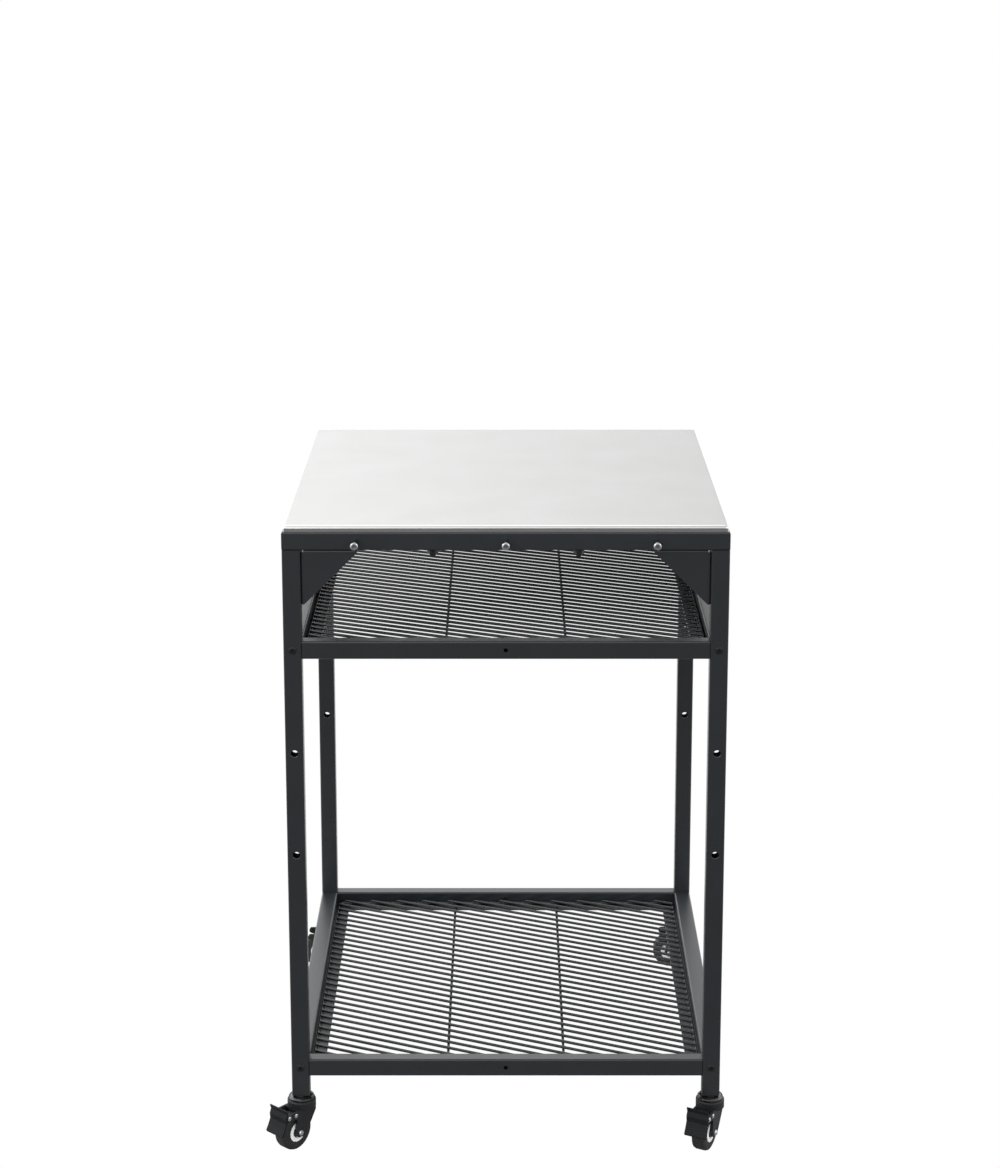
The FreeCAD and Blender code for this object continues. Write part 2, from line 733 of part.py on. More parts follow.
def flange_nut(name):
    """Hangs below its own origin: a round flange, a hexagon and a bore right through."""
    rim, base = "nut_flange / 2", "(-nut_flange_height)"
    flange = turned(f"{name}_flange", [("0", "0"), (rim, "0"), (rim, f"{base} * 0.6"),
                                       ("nut_hex / 2", base), ("0", base)])
    hexagon = hex_prism(f"{name}_hex", "nut_hex", "nut_height - nut_flange_height / 2", "-nut_height")
    bore = bar(f"{name}_bore", "(stud_diameter + 2 * play)", "2 * nut_height", "0", "0", "-1.5 * nut_height",
               FreeCAD.Rotation())
    return cut(name, fuse(f"{name}_blank", [flange, hexagon]), bore)


def make_foot_inserts():
    """Plastic plugs in the legs' lower ends, which take the caster stems."""
    plugs = []
    for end, side, x_sign, y_sign in CORNERS:
        body = new_body("foot_insert")
        plug = new_sketch(body, "XY_Plane")
        add_rectangle(plug, f"{HALF_TUBE} - tube_wall - play", f"{HALF_DEPTH} - tube_wall - play")
        pad(body, plug, "foot_plug")
        dress(body, "Fillet", "tube_corner - tube_wall", lambda edge: runs_along(edge, Z_AXIS))
        flange = new_sketch(body, "XY_Plane")
        add_rectangle(flange, HALF_TUBE, HALF_DEPTH)
        pad(body, flange, "foot_flange", reverse=True)
        dress(body, "Fillet", "tube_corner",
              lambda edge: runs_along(edge, Z_AXIS) and edge.CenterOfMass.z < 0)
        bore = new_sketch(body, "XY_Plane")
        add_circle(bore, "0", "0", "stem_diameter + 2 * play")
        pocket(body, bore, "4 * foot_plug", both_ways=True)
        plugs.append(place(body, f"{x_sign} * {LEG_X}", f"{y_sign} * {LEG_Y}", "caster_height"))
    group("leg_foot_inserts", plugs)


# Casters. Each is drawn with its swivel axis on Z and its trailing direction along +X.

RACE_TOP = "(caster_height - foot_flange - stem_hex_height)"
RACE_BOTTOM = f"({RACE_TOP} - race_height)"
CROWN_TOP = f"({RACE_BOTTOM} - race_play)"
CROWN_BOTTOM = f"({CROWN_TOP} - crown_height)"
RIVET_TOP = f"({CROWN_BOTTOM} - race_play)"
RIVET_BOTTOM = f"({RIVET_TOP} - rivet_height)"
AXLE_HEIGHT = "(wheel_diameter / 2)"
PIN_X = "(caster_trail + pin_back)"
PIN_Z = f"({AXLE_HEIGHT} + pin_rise)"
PLAIN_EAR_X = "(caster_trail + plain_ear_back)"
PLAIN_EAR_Z = f"({AXLE_HEIGHT} + plain_ear_rise)"
STOP_X = "(caster_trail + stop_back)"
STOP_Z = f"({AXLE_HEIGHT} + stop_rise)"
PLATE_OUTER = "(fork_gap / 2 + fork_plate)"
ACROSS = FreeCAD.Rotation(X_AXIS, -90)


def caster_stem(name):
    """Threaded stem, hexagon, fixed race and the kingpin riveted under the fork's crown."""
    radius, rim, step = "stem_diameter / 2", "race_diameter / 2", "race_step"
    rim_top = f"{RACE_BOTTOM} + race_rim"
    top = "(caster_height + stem_length)"
    profile = [("0", RIVET_BOTTOM), ("rivet_diameter / 2 - 1", RIVET_BOTTOM),
               ("rivet_diameter / 2", f"{RIVET_BOTTOM} + 1"), ("rivet_diameter / 2", RIVET_TOP),
               (radius, RIVET_TOP), (radius, RACE_BOTTOM), (f"{rim} - {step}", RACE_BOTTOM),
               (rim, f"{RACE_BOTTOM} + {step}"), (rim, rim_top), (f"{rim} - {step}", f"{rim_top} + {step}"),
               (f"{rim} - 2 * {step}", f"{rim_top} + {step} / 2"),
               (f"{rim} - 4 * {step}", f"{RACE_TOP} - {step}"),
               (f"stem_hex / 2 + 3 * {step}", RACE_TOP),
               (radius, RACE_TOP), (radius, top), ("0", top)]
    blank = turned(f"{name}_turned", profile)
    hexagon = hex_prism(f"{name}_hex", "stem_hex", "stem_hex_height", RACE_TOP)
    return fuse(name, [blank, hexagon])


def caster_fork(name, ear_x, ear_z, bores):
    """A round crown with two arms; the bores are centres and diameters across both arms."""
    body = new_body(name)
    arms = new_sketch(body, "XZ_Plane")
    lap = f"{CROWN_BOTTOM} + crown_height / 4"
    foot = f"{AXLE_HEIGHT} - arm_foot"
    add_polygon(arms, [
        ("-fork_front", lap),
        ("-fork_front", f"{CROWN_BOTTOM} - fork_shoulder"),
        ("caster_trail - arm_lead", AXLE_HEIGHT),
        ("caster_trail - arm_lead * 0.6", foot),
        ("caster_trail + arm_back * 0.4", foot),
        ("caster_trail + arm_back", AXLE_HEIGHT),
        ("caster_trail + arm_back * 0.8", f"{ear_z} - 1.6 * ear_radius"),
        (f"{ear_x} + ear_radius * 0.4", f"{ear_z} - ear_radius"),
        (f"{ear_x} + ear_radius", f"{ear_z} - ear_radius * 0.2"),
        (f"{ear_x} + ear_radius * 0.4", f"{ear_z} + ear_radius"),
        ("fork_front", lap),
    ])
    pad(body, arms, f"2 * {PLATE_OUTER}", both_ways=True)
    crown_floor = value(CROWN_BOTTOM)
    crown_edge = value("crown_diameter / 2")

    def is_arm_corner(edge):
        middle = edge.CenterOfMass
        return runs_along(edge, Y_AXIS) and (middle.z < crown_floor or middle.x > crown_edge)

    dress(body, "Fillet", "arm_round * 0.7", is_arm_corner)
    crown = new_sketch(body, "XY_Plane", CROWN_BOTTOM)
    add_circle(crown, "0", "0", "crown_diameter")
    pad(body, crown, "crown_height")
    crown_top = value(CROWN_TOP)
    dress(body, "Fillet", "crown_round", lambda edge: edge.BoundBox.ZMin > crown_top - 0.01)
    slot = new_sketch(body, "XZ_Plane")
    add_polygon(slot, [("-wheel_diameter", "-1"), ("2 * wheel_diameter", "-1"),
                       ("2 * wheel_diameter", CROWN_TOP), ("crown_diameter / 2", CROWN_TOP),
                       ("crown_diameter / 2", CROWN_BOTTOM), ("-wheel_diameter", CROWN_BOTTOM)])
    pocket(body, slot, "fork_gap", both_ways=True)
    kingpin = new_sketch(body, "XY_Plane", CROWN_BOTTOM)
    add_circle(kingpin, "0", "0", "stem_diameter + 2 * play")
    pocket(body, kingpin, "4 * crown_height", both_ways=True)
    across = new_sketch(body, "XZ_Plane")
    for x, z, diameter in bores:
        add_circle(across, x, z, f"{diameter} + 2 * play")
    pocket(body, across, f"4 * {PLATE_OUTER}", both_ways=True)
    return body


def cross_pin(name, diameter, head, head_height, x, z):
    """A pin across the fork with a head on the outside of each arm."""
    radius, out = f"{diameter} / 2", f"({PLATE_OUTER} + play)"
    end = f"({PLATE_OUTER} + play + {head_height})"
    rim = f"{head} / 2"
    profile = [("0", f"-{end}"), (f"{rim} * 0.7", f"-{end}"), (rim, f"-({out} + {head_height} / 2)"),
               (rim, f"-{out}"), (radius, f"-{out}"), (radius, out), (rim, out),
               (rim, f"{out} + {head_height} / 2"), (f"{rim} * 0.7", end), ("0", end)]
    return place(turned(name, profile), x, "0", z, ACROSS)


def stop_rivet(name, y_sign):
    """A short rivet in one arm that stops the brake lever's travel."""
    radius, rim = "pin_diameter / 2", "pin_head / 2"
    end = "(fork_plate + play + pin_head_height)"
    profile = [("0", "0"), (radius, "0"), (radius, "fork_plate + play"), (rim, "fork_plate + play"),
               (rim, f"{end} - pin_head_height / 2"), (f"{rim} * 0.7", end), ("0", end)]
    return place(turned(name, profile), STOP_X, f"{y_sign} * fork_gap / 2", STOP_Z, facing(y_sign))


def caster_tyre(name):
    half, round_off, radius = "wheel_width / 2", "wheel_round", "wheel_diameter / 2"
    profile = [("hub_diameter / 2", f"-{half}"), (f"{radius} - {round_off}", f"-{half}"),
               (f"{radius} - {round_off} / 4", f"-{half} + {round_off} / 3"),
               (radius, f"-{half} + {round_off}"), (radius, f"{half} - {round_off}"),
               (f"{radius} - {round_off} / 4", f"{half} - {round_off} / 3"),
               (f"{radius} - {round_off}", half), ("hub_diameter / 2", half)]
    return place(turned(name, profile), "caster_trail", "0", AXLE_HEIGHT, ACROSS)


def caster_hub(name):
    """Hub with a raised outer ring, a sunk web and a boss that runs on the axle."""
    face, sunk = "wheel_width / 2", "(wheel_width / 2 - hub_recess)"
    boss_end = "(fork_gap / 2 - hub_play)"
    bore, boss = "axle_diameter / 2 + play", "hub_boss / 2"
    ring, rim = "(hub_diameter / 2 - hub_rim)", "hub_diameter / 2"
    half = [(bore, boss_end), (boss, boss_end), (boss, sunk), (ring, sunk), (ring, face), (rim, face)]
    other = [(radius, f"-{height}") for radius, height in half[::-1]]
    return place(turned(name, half + other), "caster_trail", "0", AXLE_HEIGHT, ACROSS)


def caster_pedal(name):
    """Brake lever: a wavy foot plate, a shoe that nears the tyre and a boss round the pin."""
    body = new_body(name)

    def from_pin(points):
        return [(f"{PIN_X} + {x}", f"{PIN_Z} + {z}") for x, z in points]

    belly, thick = "pedal_belly", "pedal_sheet"
    plate = new_sketch(body, "XZ_Plane")
    add_polygon(plate, from_pin([
        ("pedal_tip_out", "pedal_tip_up"),
        (f"{belly} - pedal_wave * 1.4", "pedal_tip_up * 0.6"),
        (belly, "pedal_tip_up * 0.15"),
        (f"{belly} - pedal_wave * 0.4", "-pedal_lip_down * 0.25"),
        (f"{belly} + pedal_wave * 1.3", "-pedal_lip_down * 0.6"),
        ("pedal_lip_out", "-pedal_lip_down"),
        (f"pedal_lip_out - {thick} * 0.6", f"-pedal_lip_down - {thick}"),
        (f"{belly} + pedal_wave * 0.5", f"-pedal_lip_down * 0.6 - {thick} * 0.8"),
        (f"{belly} - pedal_wave * 0.4 - {thick}", "-pedal_lip_down * 0.25"),
        (f"{belly} - {thick}", "pedal_tip_up * 0.15"),
        (f"{belly} - pedal_wave * 1.4 - {thick}", "pedal_tip_up * 0.6"),
        (f"pedal_tip_out - {thick} * 0.7", "pedal_tip_up + 0.4"),
    ]))
    pad(body, plate, "pedal_width", both_ways=True)
    shoe = new_sketch(body, "XZ_Plane")
    add_polygon(shoe, from_pin([
        ("0", "pedal_boss / 2 * 0.9"),
        (f"{belly} - pedal_wave * 1.4 - {thick} / 2", "pedal_tip_up * 0.4"),
        (f"{belly} - {thick} / 2", "-pedal_lip_down * 0.25"),
        (f"{belly} + pedal_wave * 0.3", "-pedal_lip_down * 0.65"),
        ("shoe_out", "-shoe_down"),
        ("shoe_out * 0.75", "-shoe_down / 2"),
        ("0", "-pedal_boss / 2 * 0.9"),
    ]))
    pad(body, shoe, "shoe_width", both_ways=True)
    boss = new_sketch(body, "XZ_Plane")
    add_circle(boss, PIN_X, PIN_Z, "pedal_boss")
    pad(body, boss, "fork_gap - 2 * pedal_play", both_ways=True)
    bore = new_sketch(body, "XZ_Plane")
    add_circle(bore, PIN_X, PIN_Z, "pin_diameter + 2 * play")
    pocket(body, bore, "2 * fork_gap", both_ways=True)
    return body


def brake_pieces(prefix):
    """The lever, the pin that carries it and the two rivets that stop it."""
    pin = cross_pin(f"{prefix}_pin", "pin_diameter", "pin_head", "pin_head_height", PIN_X, PIN_Z)
    stops = [stop_rivet(f"{prefix}_stop", sign) for sign in (-1, 1)]
    return {"rivets": [pin] + stops, "pedal": [caster_pedal(f"{prefix}_lever")]}


def make_caster(end, side, x_sign, y_sign):
    prefix = f"caster_{end}_{side}"
    bores = [("caster_trail", AXLE_HEIGHT, "axle_diameter")]
    if end == "front":
        bores += [(PIN_X, PIN_Z, "pin_diameter"), (STOP_X, STOP_Z, "pin_diameter")]
        fork = caster_fork(f"{prefix}_arms", PIN_X, PIN_Z, bores)
    else:
        fork = caster_fork(f"{prefix}_arms", PLAIN_EAR_X, PLAIN_EAR_Z, bores)
    axle = cross_pin(f"{prefix}_axle_bolt", "axle_diameter", "axle_head", "axle_head_height",
                     "caster_trail", AXLE_HEIGHT)
    pieces = {
        "stem": [caster_stem(f"{prefix}_kingpin")],
        "fork": [fork],
        "axle": [axle],
        "tyre": [caster_tyre(f"{prefix}_tread")],
        "hub": [caster_hub(f"{prefix}_centre")],
    }
    if end == "front":
        pieces.update(brake_pieces(prefix))
    turn = FreeCAD.Rotation(Z_AXIS, value(f"yaw_{end}_{side}"))
    for part_name, solids in pieces.items():
        seated = group(f"{prefix}_{part_name}", solids)
        place(seated, f"{x_sign} * {LEG_X}", f"{y_sign} * {LEG_Y}", "0", turn)


# The whole table

make_top()
make_top_frame()
make_legs()
for shelf_name, shelf_height in SHELF_HEIGHTS.items():
    make_shelf_rails(shelf_name, shelf_height)
    make_ledge(shelf_name, shelf_height)
    make_grid(shelf_name, shelf_height)
for corner in CORNERS:
    make_gusset(*corner)
make_gusset_screws()
make_shelf_bolts()
make_tool_hooks()
make_studs_and_nuts()
make_foot_inserts()
for corner in CORNERS:
    make_caster(*corner)
doc.recompute()

# Every object is sound before anything is written
for item in doc.Objects:
    if {"Invalid", "Error"} & set(item.State):
        raise RuntimeError(f"{item.Name} failed: {item.State}")
for label, item in nodes.items():
    if item.Shape.isNull() or not item.Shape.isValid():
        raise RuntimeError(f"{label} has no valid shape")

os.makedirs("parts", exist_ok=True)
for label, item in nodes.items():
    item.Shape.exportStep(f"parts/{label}.step")
    print(label, len(item.Shape.Solids), "solids", round(item.Shape.Volume / 1000, 2), "cm3")
print(len(nodes), "nodes")
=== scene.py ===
import bpy
import json
import math
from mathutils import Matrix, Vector

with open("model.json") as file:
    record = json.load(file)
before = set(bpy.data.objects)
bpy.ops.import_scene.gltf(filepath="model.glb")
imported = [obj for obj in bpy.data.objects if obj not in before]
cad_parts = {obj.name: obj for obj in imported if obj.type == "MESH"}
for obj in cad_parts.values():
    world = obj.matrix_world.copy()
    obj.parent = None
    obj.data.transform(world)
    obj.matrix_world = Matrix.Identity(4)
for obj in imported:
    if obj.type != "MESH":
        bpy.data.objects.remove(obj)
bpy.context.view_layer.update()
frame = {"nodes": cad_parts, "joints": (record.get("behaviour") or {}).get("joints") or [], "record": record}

mm = 0.001
nodes = frame["nodes"]
scene = bpy.context.scene


# Colours and nodes

def linear(hexColour):
    # sRGB hex to linear RGBA, by the standard curve with its straight foot
    parts = [int(hexColour[start:start + 2], 16) / 255 for start in (1, 3, 5)]
    return tuple(p / 12.92 if p <= 0.04045 else ((p + 0.055) / 1.055) ** 2.4 for p in parts) + (1.0,)


def connect(tree, node, links):
    # Feeds the node's sockets, each from a socket or from another node's first output
    for socket, source in links.items():
        output = source if isinstance(source, bpy.types.NodeSocket) else source.outputs[0]
        tree.links.new(output, node.inputs[socket])


def addNode(tree, kind, links=None, stops=(), **settings):
    # One node; stops are a ramp's, settings go to its properties, or else to the sockets of that name
    node = tree.nodes.new("ShaderNode" + kind)
    for name, setting in settings.items():
        if hasattr(node, name):
            setattr(node, name, setting)
        else:
            node.inputs[name.replace("_", " ")].default_value = setting
    for number, (position, colour) in enumerate(stops):
        node.color_ramp.elements[number].position = position
        node.color_ramp.elements[number].color = linear(colour)
    connect(tree, node, links or {})
    return node


def newMaterial(name, finish):
    # The shader's own roughness is the middle of the finish's least and most
    material = bpy.data.materials.new(name)
    material.use_nodes = True
    material.diffuse_color = linear(finish["colour"])
    tree = material.node_tree
    shader = tree.nodes["Principled BSDF"]
    shader.inputs["Base Color"].default_value = linear(finish["colour"])
    shader.inputs["Roughness"].default_value = sum(finish["roughness"]) / 2
    shader.inputs["Metallic"].default_value = finish.get("metallic", 0.0)
    shader.inputs["Specular IOR Level"].default_value = finish.get("shine", 0.5)
    return material, tree, shader


def grain(tree, size, detail=2.0):
    # Random pattern whose grains have this size in millimetres, or one size along each axis
    sizes = size if isinstance(size, tuple) else (size, size, size)
    scale = tuple(1 / (length * mm) for length in sizes)
    place = addNode(tree, "TexCoord").outputs["Object"]
    scaled = addNode(tree, "Mapping", {"Vector": place}, Scale=scale)
    return addNode(tree, "TexNoise", {"Vector": scaled}, Scale=1.0, Detail=detail)


grainSpan = {"From_Min": 0.3, "From_Max": 0.7}  # most of a grain's values lie in this span


# Top: brushed stainless sheet, with fine streaks along the front edge and a soft milky shine
# Real brush lines are about 0.1 mm wide: these are drawn coarser, so that they show

stainless = {
    "colour": "#b8b8b7",
    "metallic": 1.0,
    "roughness": (0.18, 0.26),
    "patches": [(0.3, "#b6b6b5"), (0.7, "#bababa")],
    "patchSize": 90,
    "streakSize": (45, 0.9, 0.9),
    "streakDepth": 0.008,
}


def makeStainless():
    material, tree, shader = newMaterial("brushedStainless", stainless)
    least, most = stainless["roughness"]
    streaks = grain(tree, stainless["streakSize"], 4.0)
    patches = grain(tree, stainless["patchSize"])
    shade = addNode(tree, "ValToRGB", {"Fac": patches}, stops=stainless["patches"])
    gloss = addNode(tree, "MapRange", {"Value": streaks}, **grainSpan, To_Min=least, To_Max=most)
    relief = addNode(tree, "Bump", {"Height": streaks}, Distance=stainless["streakDepth"] * mm)
    connect(tree, shader, {"Base Color": shade, "Roughness": gloss, "Normal": relief})
    return material


# Tubes, gussets and ledges: black powder coat, satin, with the fine orange peel of baked powder

coat = {
    "colour": "#202427",
    "roughness": (0.31, 0.39),
    "patches": [(0.3, "#1f2326"), (0.7, "#222529")],
    "patchSize": 60,
    "peelSize": 1.1,
    "peelDepth": 0.03,
}


def makePowderCoat():
    material, tree, shader = newMaterial("blackPowderCoat", coat)
    least, most = coat["roughness"]
    peel = grain(tree, coat["peelSize"])
    patches = grain(tree, coat["patchSize"])
    shade = addNode(tree, "ValToRGB", {"Fac": patches}, stops=coat["patches"])
    gloss = addNode(tree, "MapRange", {"Value": peel}, **grainSpan, To_Min=least, To_Max=most)
    relief = addNode(tree, "Bump", {"Height": peel}, Distance=coat["peelDepth"] * mm)
    connect(tree, shader, {"Base Color": shade, "Roughness": gloss, "Normal": relief})
    return material


# Grids: black coated wire, a thicker coat than the tubes', with a rounder shine

wire = {
    "colour": "#1a1c1f",
    "roughness": (0.22, 0.3),
    "peelSize": 1.6,
    "peelDepth": 0.03,
}


def makeCoatedWire():
    material, tree, shader = newMaterial("blackCoatedWire", wire)
    least, most = wire["roughness"]
    peel = grain(tree, wire["peelSize"])
    gloss = addNode(tree, "MapRange", {"Value": peel}, **grainSpan, To_Min=least, To_Max=most)
    relief = addNode(tree, "Bump", {"Height": peel}, Distance=wire["peelDepth"] * mm)
    connect(tree, shader, {"Roughness": gloss, "Normal": relief})
    return material


# Axles and rivets: bright zinc plate, grey silver with a faint cloudiness

zinc = {
    "colour": "#b9babb",
    "metallic": 1.0,
    "roughness": (0.27, 0.38),
    "clouds": [(0.3, "#aeb0b2"), (0.7, "#c4c5c5")],
    "cloudSize": 3,
}


def makeZinc():
    material, tree, shader = newMaterial("brightZincPlate", zinc)
    least, most = zinc["roughness"]
    clouds = grain(tree, zinc["cloudSize"])
    shade = addNode(tree, "ValToRGB", {"Fac": clouds}, stops=zinc["clouds"])
    gloss = addNode(tree, "MapRange", {"Value": clouds}, **grainSpan, To_Min=least, To_Max=most)
    connect(tree, shader, {"Base Color": shade, "Roughness": gloss})
    return material


# Pegs' heads: turned stainless, satin grey with fine lathe marks round them

turned = {
    "colour": "#b2b2b4",
    "metallic": 1.0,
    "roughness": (0.26, 0.36),
    "markSize": (1, 1 / 6, 1),
    "markDepth": 0.006,
}


def makeTurnedSteel():
    material, tree, shader = newMaterial("turnedStainless", turned)
    least, most = turned["roughness"]
    marks = grain(tree, turned["markSize"])
    gloss = addNode(tree, "MapRange", {"Value": marks}, **grainSpan, To_Min=least, To_Max=most)
    relief = addNode(tree, "Bump", {"Height": marks}, Distance=turned["markDepth"] * mm)
    connect(tree, shader, {"Roughness": gloss, "Normal": relief})
    return material


# Pegs' stems: drawn stainless bar, glossier than the heads, with a thin highlight and faint draw lines; their
# darker colour is painted shade, standing in for the shade and dark reflections the stems sit in under the
# rail
# Real draw lines are about 0.1 mm wide: these are drawn coarser, so that they show

drawn = {
    # darker than the heads' stainless: painted shade, not the metal's own tone
    "colour": "#7f8082",
    "metallic": 1.0,
    "roughness": (0.1, 0.14),
    "lineSize": (0.5, 5, 0.5),
}


def makeDrawnSteelWithPaintedShade():
    material, tree, shader = newMaterial("drawnStainlessPaintedShade", drawn)
    least, most = drawn["roughness"]
    lines = grain(tree, drawn["lineSize"])
    gloss = addNode(tree, "MapRange", {"Value": lines}, **grainSpan, To_Min=least, To_Max=most)
    connect(tree, shader, {"Roughness": gloss})
    return material


# Dark hardware: black oxide on bolts, screws, studs and nuts is near black and dull,
# black zinc plate on the casters' stems and races is near black with a wet gloss

plating = {
    "blackOxide": {"colour": "#111213", "roughness": (0.44, 0.56), "shine": 0.35, "cloudSize": 2},
    "blackZincPlate": {"colour": "#141516", "roughness": (0.14, 0.22), "shine": 0.8, "cloudSize": 2},
}


def makePlating(name):
    material, tree, shader = newMaterial(name, plating[name])
    least, most = plating[name]["roughness"]
    clouds = grain(tree, plating[name]["cloudSize"])
    gloss = addNode(tree, "MapRange", {"Value": clouds}, **grainSpan, To_Min=least, To_Max=most)
    connect(tree, shader, {"Roughness": gloss})
    return material


# Plastics and rubber: moulded, with a fine spark-eroded grain that breaks up the shine
# The real grain is about 0.1 mm: it is drawn coarser, so that it shows
# The pedals are of a duller nylon than the forks

plastics = {
    "blackPlastic": {"colour": "#1a1b1c", "roughness": (0.46, 0.55), "grain": 0.5, "depth": 0.02},
    "blackNylon": {"colour": "#1a1b1e", "roughness": (0.51, 0.6), "shine": 0.3, "grain": 0.4, "depth": 0.02},
    "dullNylon": {"colour": "#1a1b1e", "roughness": (0.56, 0.65), "shine": 0.12, "grain": 0.4, "depth": 0.02},
    "tyreRubber": {"colour": "#18181a", "roughness": (0.58, 0.67), "grain": 0.7, "depth": 0.03},
    "whiteHubPlastic": {"colour": "#f6f6f4", "roughness": (0.31, 0.4), "grain": 0.6, "depth": 0.01},
    "greyHubPlastic": {"colour": "#3a3b3d", "roughness": (0.36, 0.45), "grain": 0.6, "depth": 0.01},
}


def makePlastic(name):
    material, tree, shader = newMaterial(name, plastics[name])
    least, most = plastics[name]["roughness"]
    texture = grain(tree, plastics[name]["grain"])
    gloss = addNode(tree, "MapRange", {"Value": texture}, **grainSpan, To_Min=least, To_Max=most)
    relief = addNode(tree, "Bump", {"Height": texture}, Distance=plastics[name]["depth"] * mm)
    connect(tree, shader, {"Roughness": gloss, "Normal": relief})
    return material


# The finish of each piece, by its slot in the record; the pedals have their own

finishes = {
    "stainless_top": makeStainless(),
    "black_powder_coat": makePowderCoat(),
    "black_wire": makeCoatedWire(),
    "zinc_hardware": makeZinc(),
    "polished_pegs": makeTurnedSteel(),
    "black_hardware": makePlating("blackOxide"),
    "black_zinc": makePlating("blackZincPlate"),
    "black_plastic": makePlastic("blackPlastic"),
    "black_nylon": makePlastic("blackNylon"),
    "tyre_rubber": makePlastic("tyreRubber"),
    "hub_white": makePlastic("whiteHubPlastic"),
}
pedal = {"finish": makePlastic("dullNylon"), "sharpAngle": 50}
sharpAngle = 32  # degrees between faces from which an edge stays sharp
for part in frame["record"]["subparts"]:
    isPedal = part["node"].endswith("_pedal")
    mesh = nodes[part["node"]].data
    mesh.materials.clear()
    mesh.materials.append(pedal["finish"] if isPedal else finishes[part["material_slot"]])
    mesh.shade_smooth()
    mesh.set_sharp_from_angle(angle=math.radians(pedal["sharpAngle"] if isPedal else sharpAngle))
print("materials", len(bpy.data.materials))


# Wheel hubs: white rim, dark web and boss

hub = {"rimRadius": 8.2 * mm, "web": makePlastic("greyHubPlastic")}
for joint in frame["joints"]:
    if not joint["name"].endswith("_roll"):
        continue
    corner = joint["name"][:-len("_roll")]
    mesh = nodes[f"caster_{corner}_hub"].data
    mesh.materials.append(hub["web"])
    centre, axis = Vector(joint["pos_m"]), Vector(joint["axis"]).normalized()
    for face in mesh.polygons:
        fromCentre = [mesh.vertices[v].co - centre for v in face.vertices]
        radii = [(arm - axis * arm.dot(axis)).length for arm in fromCentre]
        face.material_index = 0 if min(radii) > hub["rimRadius"] else 1
print("hubs")


# Utensil pegs: satin heads on polished stems

pegs = {"headLength": 3.8 * mm, "slack": 0.01 * mm, "stem": makeDrawnSteelWithPaintedShade()}
mesh = nodes["tool_hooks"].data
# the stems' material is a darker copy of the heads' stainless, its darkness painted shade
mesh.materials.append(pegs["stem"])
headBack = min(vertex.co.y for vertex in mesh.vertices) + pegs["headLength"] - pegs["slack"]
for face in mesh.polygons:
    face.material_index = 1 if min(mesh.vertices[v].co.y for v in face.vertices) > headBack else 0
print("pegs")


# Studio: the camera sees plain white, everything else the lit surface

def showWhite(tree, lit, white, outputKind):
    seen = addNode(tree, "LightPath").outputs["Is Camera Ray"]
    mix = addNode(tree, "MixShader", {0: seen, 1: lit, 2: white})
    output = next(node for node in tree.nodes if node.type == outputKind)
    connect(tree, output, {"Surface": mix})


# Floor: a matt sheet, darker in front and paler towards the back, a painted fade of shade and light that
# stands in for the studio being dim in front of the table and bright behind it; half its side and the ends of
# the fade are in metres

sheet = {
    "colour": "#6c6c6c",
    "roughness": (0.9, 0.9),
    "shine": 0.1,
    # painted shade on the floor in front, painted light behind
    "paintedTones": [(0.3, "#6c6c6c"), (0.7, "#d8d8d8")],
    "fade": {"From_Min": -1.25, "From_Max": 0.9},
    "halfSide": 6.0,
}


def makeFloor():
    mesh = bpy.data.meshes.new("floor")
    half = sheet["halfSide"]
    corners = [(-half, -half, 0), (half, -half, 0), (half, half, 0), (-half, half, 0)]
    mesh.from_pydata(corners, [], [(0, 1, 2, 3)])
    floor = bpy.data.objects.new("floor", mesh)
    scene.collection.objects.link(floor)
    material, tree, shader = newMaterial("studioSheet", sheet)
    place = addNode(tree, "TexCoord").outputs["Object"]
    depth = addNode(tree, "SeparateXYZ", {"Vector": place}).outputs["Y"]
    # painted fade: darker in front, paler behind, for how the light falls on the floor
    paintedLightFade = addNode(tree, "MapRange", {"Value": depth}, **sheet["fade"])
    shade = addNode(tree, "ValToRGB", {"Fac": paintedLightFade}, stops=sheet["paintedTones"])
    connect(tree, shader, {"Base Color": shade})
    white = addNode(tree, "Emission", Color=(1, 1, 1, 1), Strength=1.0)
    showWhite(tree, shader, white, "OUTPUT_MATERIAL")
    mesh.materials.append(material)


# Studio walls: dim in front of the table, bright behind it, high up and at its sides, dim overhead
# Each range maps a stretch of a direction's X, Y or Z onto a glow or a gain; a missing To_Min is linked

walls = {
    "front": {"From_Min": 0.12, "From_Max": 0.35, "To_Min": 0.34, "To_Max": 0.92},
    "depth": {"From_Min": -0.3, "From_Max": 0.7, "To_Max": 1.06},
    "high": {"From_Min": 0.28, "From_Max": 0.42, "To_Min": 1.0, "To_Max": 2.1},
    "zenith": {"From_Min": 0.6, "From_Max": 0.85, "To_Min": 1.0, "To_Max": 0.55},
    "behind": {"From_Min": -0.3, "From_Max": 0.3, "To_Min": 1.0, "To_Max": 1.9},
    "horizon": {"From_Min": 0.02, "From_Max": 0.16, "To_Max": 1.0},
    "side": {"From_Min": -0.12, "From_Max": 0.12, "To_Min": 1.2, "To_Max": 0.84},
    "flank": {"From_Min": 0.5, "From_Max": 0.85, "To_Min": 1.0, "To_Max": 2.4},
}


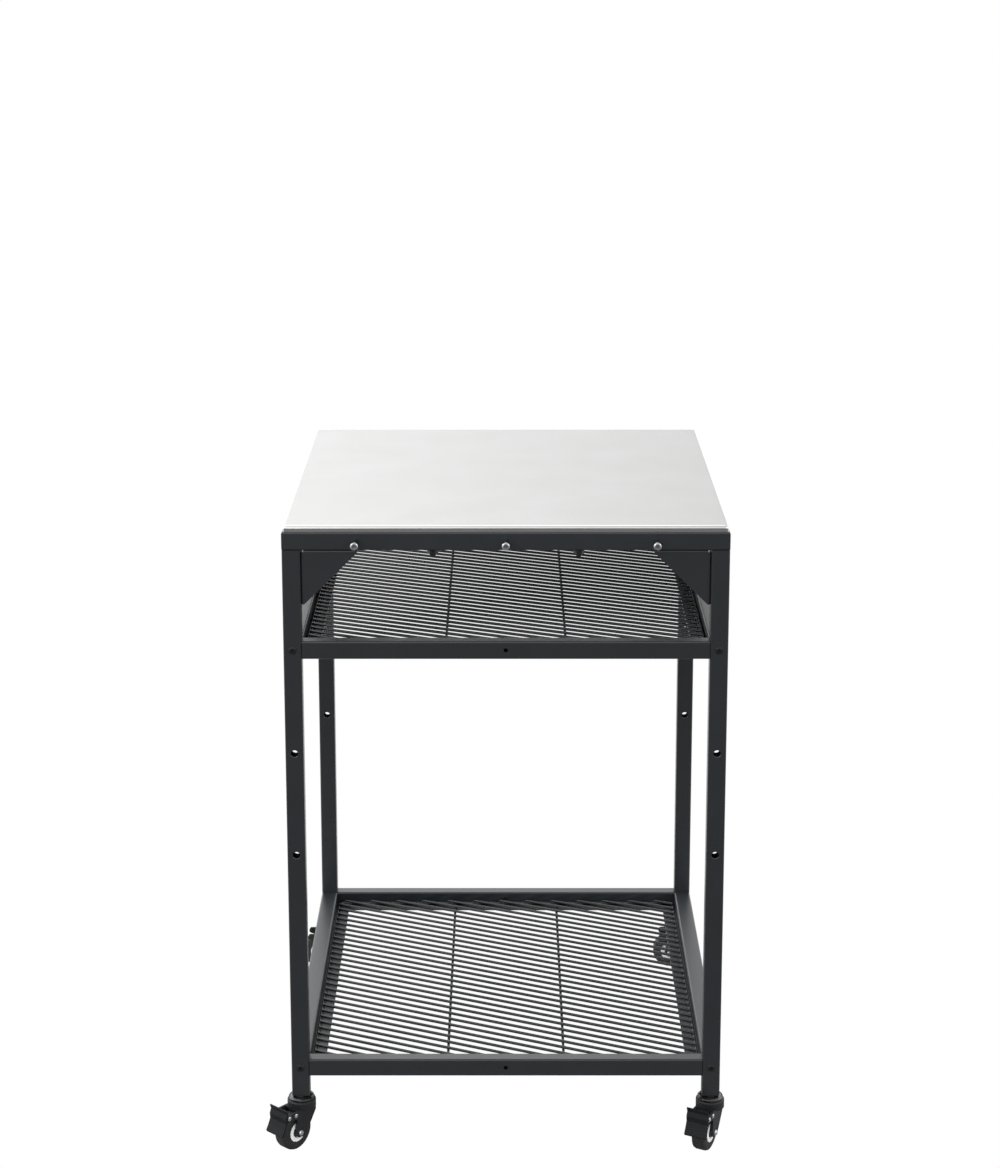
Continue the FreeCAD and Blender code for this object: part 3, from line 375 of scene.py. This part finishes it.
def makeWalls():
    world = bpy.data.worlds.new("studio")
    world.use_nodes = True
    scene.world = world
    tree = world.node_tree
    direction = addNode(tree, "TexCoord").outputs["Generated"]
    x, y, z = addNode(tree, "SeparateXYZ", {"Vector": direction}).outputs
    sideways = addNode(tree, "Math", {0: x, 1: x}, operation="MULTIPLY")
    front = addNode(tree, "MapRange", {"Value": z}, **walls["front"])
    glow = addNode(tree, "MapRange", {"Value": y, "To Min": front}, **walls["depth"])
    behind = addNode(tree, "MapRange", {"Value": y}, **walls["behind"])
    gains = [
        addNode(tree, "MapRange", {"Value": z}, **walls["high"]),
        addNode(tree, "MapRange", {"Value": z}, **walls["zenith"]),
        addNode(tree, "MapRange", {"Value": x}, **walls["side"]),
        addNode(tree, "MapRange", {"Value": z, "To Min": behind}, **walls["horizon"]),
        addNode(tree, "MapRange", {"Value": sideways}, **walls["flank"]),
    ]
    for gain in gains:
        glow = addNode(tree, "Math", {0: glow, 1: gain}, operation="MULTIPLY")
    lit = tree.nodes["Background"]
    lit.inputs["Color"].default_value = linear("#ffffff")
    connect(tree, lit, {"Strength": glow})
    white = addNode(tree, "Background", Color=(1, 1, 1, 1), Strength=1.0)
    showWhite(tree, lit, white, "OUTPUT_WORLD")


# Soft lights: places in metres, power in watts

lights = {
    "keyLight": {"place": (-1.0, -3.0, 1.6), "target": (0, 0, 0.4), "size": (1.2, 1.2), "power": 7},
    "fillLight": {"place": (2.4, -2.2, 1.8), "target": (0, 0, 0.5), "size": (1.6, 1.6), "power": 8},
    "topLight": {"place": (-0.3, 0.9, 3.2), "target": (0, 0, 0.6), "size": (2.0, 1.4), "power": 16},
}


def makeLight(name, place, target, size, power):
    lamp = bpy.data.lights.new(name, "AREA")
    lamp.shape = "RECTANGLE"
    lamp.size, lamp.size_y = size
    lamp.energy = power
    holder = bpy.data.objects.new(name, lamp)
    scene.collection.objects.link(holder)
    holder.location = place
    holder.rotation_euler = (Vector(target) - Vector(place)).to_track_quat("-Z", "Y").to_euler()


makeFloor()
makeWalls()
for name, light in lights.items():
    makeLight(name, **light)
print("studio")


# Camera: the photo's place and viewing angle

photoView = {
    "place": (0, -3.424, 1.7271),
    "pitch": 12.018,
    "filmWidth": 36,
    "lens": 74.639,
    "shift": (-0.005, -0.15),
}
cameraData = bpy.data.cameras.new("camera")
cameraData.sensor_width = photoView["filmWidth"]
cameraData.lens = photoView["lens"]
cameraData.shift_x, cameraData.shift_y = photoView["shift"]
camera = bpy.data.objects.new("camera", cameraData)
scene.collection.objects.link(camera)
camera.location = photoView["place"]
camera.rotation_euler = (math.radians(90 - photoView["pitch"]), 0, 0)
scene.camera = camera
scene.view_settings.view_transform = "Standard"
print("camera")
